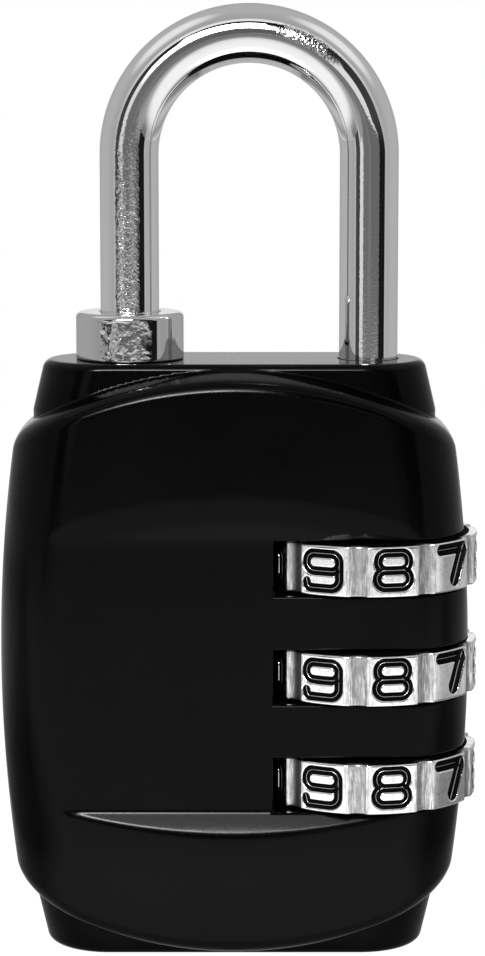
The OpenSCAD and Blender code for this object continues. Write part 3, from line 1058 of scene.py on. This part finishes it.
disc, _ = lathe([(FLOOR_R * t, 0.0) for t in (0.001, 0.1, 0.3, 0.6, 1.0)], 128, 0.0)
floor_material, floor_tree, floor_shader = new_material("light_table")
floor_tree.links.new(ramp(floor_tree, noise(floor_tree, 30), 0.05, 0.06), floor_shader.inputs["Base Color"])
floor_shader.inputs["Roughness"].default_value = 0.9
floor_shader.inputs["Specular IOR Level"].default_value = 0.1
floor_shader.inputs["Emission Color"].default_value = (1, 1, 1, 1)
feed(floor_tree, floor_shader.inputs["Emission Strength"], floor_glow(floor_tree))
floor = mesh_object("floor", disc.reshape(-1, 3), grid_faces(5, 128), [floor_material])


def area_light(name, place, aim, width, height, brightness, roll=0.0):
    """A rectangular light in metres. brightness is its radiance, so that its power follows from its size.
    roll is in degrees and lifts its right-hand end."""
    data = bpy.data.lights.new(name, "AREA")
    data.shape = "RECTANGLE"
    data.size, data.size_y = width, height
    data.energy = brightness * width * height * math.pi
    light = bpy.data.objects.new(name, data)
    light.location = place
    facing = (Vector(aim) - Vector(place)).to_track_quat("-Z", "Y")
    light.rotation_euler = (facing @ Quaternion((0, 0, 1), math.radians(roll))).to_euler()
    bpy.context.scene.collection.objects.link(light)
    return data


def soften(data, share):
    """Let a light fade out towards its edges, over a share of its sides."""
    data.use_nodes = True
    tree = data.node_tree
    across = tree.nodes.new("ShaderNodeSeparateXYZ")
    tree.links.new(tree.nodes.new("ShaderNodeNewGeometry").outputs["Parametric"], across.inputs[0])
    inward = [Varying(tree, across.outputs[axis]).do("PINGPONG", 0.5) for axis in (0, 1)]
    fades = [(distance / share).clamped().do("POWER", 3.0) for distance in inward]
    feed(tree, tree.nodes["Emission"].inputs["Strength"], fades[0] * fades[1])


def from_front(azimuth, elevation, distance, aim):
    """A place seen from aim at an azimuth from the front, towards +X, and an elevation."""
    a, e = math.radians(azimuth), math.radians(elevation)
    toward = Vector((math.sin(a) * math.cos(e), -math.cos(a) * math.cos(e), math.sin(e)))
    return Vector(aim) + distance * toward


AIM = (0.0, 0.0, 0.03)
soften(area_light("front_softbox", from_front(-12, 27, 0.7, AIM), AIM, 0.5, 0.17, 60, 20), 0.3)
LOW_AIM = (0.0, -0.006, 0.0095)
# both strips end just right of the middle, so that the bow's right shoulder stays dark
STRIP_SHIFT = Vector((-0.038, 0, 0))
STRIP_AIM = Vector(LOW_AIM) + STRIP_SHIFT
area_light("near_strip", from_front(0, 32.5, 0.3, STRIP_AIM), STRIP_AIM, 0.124, 0.036, 13)
area_light("upper_strip", from_front(0, 41, 0.3, STRIP_AIM), STRIP_AIM, 0.124, 0.056, 7)


def studio_glow(tree):
    """Rings round the line from the front: a white ring, a black one, a thin bright one, then even grey.
    They are wider to the left and right than above. Angles from the front are in degrees."""
    parts = tree.nodes.new("ShaderNodeSeparateXYZ")
    tree.links.new(tree.nodes.new("ShaderNodeTexCoord").outputs["Generated"], parts.inputs[0])
    x, y, z = (Varying(tree, part) for part in parts.outputs)
    off_front = (y * -1.0).do("ARCCOSINE") * (180 / math.pi)
    spread = (x * x + z * z).do("SQRT").do("MAXIMUM", 0.0001)
    aside, aloft = x / spread, z / spread
    sideways = aside.do("ABSOLUTE").do("POWER", 3.0)
    # level with the object and below, the white ring starts further out on the right. Up to the right
    # it has a dark gap, and between that gap and the horizon a bright lens
    right = (aloft * -1.0).step(-0.3, 0.04) * aside.step(0.0, 0.3)
    lens = aside.step(0.7, 0.8) * aloft.step(0.08, 0.2)
    gap = aside.step(0.2, 0.32) * (1.0 - aside.step(0.7, 0.8)) * aloft.step(0.0, 0.1)
    white_from = sideways * 6.0 + (right * 20.0 + 19.0) - lens * 30.0
    white_to = sideways * 3.5 + 34.0 - lens * 13.0
    black_to = sideways * 8.0 + (right * 8.0 + 45.0)
    core = mix(sideways * 0.05 + 0.12, 0.15, right)
    white = mix(sideways * -0.2 + 0.95, 0.02, gap)
    black = sideways * (1.0 - right) * 0.05 + 0.01
    even = mix(mix(0.4, 0.48, off_front.step(55.0, 100.0)), 0.38, off_front.step(120.0, 172.0))
    glow = mix(core, white, off_front.step(white_from - 1.5, white_from + 1.5))
    glow = mix(glow, black, off_front.step(white_to, white_to + 1.2))
    glow = mix(glow, mix(0.95, 0.47, sideways), off_front.step(black_to, black_to + 2.0))
    glow = mix(glow, even, off_front.step(black_to + 6.0, black_to + 14.0))
    # just below the horizon in front, the light table's far end
    far_end = z.step(-0.098, -0.113) * (1.0 - off_front.step(30.0, 40.0))
    glow = mix(glow, 0.35, far_end)
    # two soft lamps high up, to the left and to the right
    for lamp_x, lamp_z in ((-0.57, 0.82), (0.64, 0.77)):
        toward_lamp = x * lamp_x + z * lamp_z
        glow = mix(glow, 0.9, toward_lamp.step(0.9, 0.995) * off_front.step(62.0, 84.0))
    # dim below, and bright straight behind
    glow = mix(glow, 0.2, aloft.step(-0.35, -0.75))
    return mix(glow, 0.85, off_front.step(160.0, 166.0))


studio = bpy.data.worlds.new("studio")
bpy.context.scene.world = studio
studio.use_nodes = True
sky = studio.node_tree
background = sky.nodes["Background"]
backdrop = sky.nodes.new("ShaderNodeMix")
backdrop.data_type = "RGBA"
sky.links.new(sky.nodes.new("ShaderNodeLightPath").outputs["Is Camera Ray"], backdrop.inputs["Factor"])
feed(sky, backdrop.inputs["A"], studio_glow(sky))
backdrop.inputs["B"].default_value = (1.0, 1.0, 1.0, 1)
sky.links.new(backdrop.outputs["Result"], background.inputs["Color"])
background.inputs["Strength"].default_value = 1.0
bpy.context.scene.view_settings.view_transform = "Standard"
